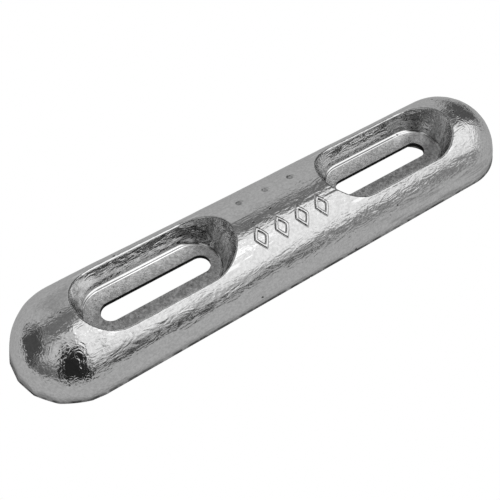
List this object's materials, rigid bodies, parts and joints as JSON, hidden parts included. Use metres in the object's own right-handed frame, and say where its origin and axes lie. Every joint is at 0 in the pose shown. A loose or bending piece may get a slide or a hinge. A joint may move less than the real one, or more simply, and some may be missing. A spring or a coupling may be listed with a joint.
{
  "type": "sacrificial anode",
  "caption": "Bolt-on bar hull anode: domed cast zinc bar on a slotted steel strap, with long pockets for the fixing bolts, corrodes in place of a hull.",
  "frame": {"origin": "middle of the flat back, which lies against the hull", "axes": "+X along the bar, +Y across it, +Z out of the back towards the domed face"},
  "size_m": [0.2998, 0.0648, 0.03],
  "materials": {
    "cast_zinc": "bright as-cast zinc, rippled by the mould",
    "galvanised_steel": "matte galvanised"
  },
  "bodies": {
    "root": {"anode_casting": "cast_zinc", "steel_strap": "galvanised_steel"}
  },
  "joints": []
}
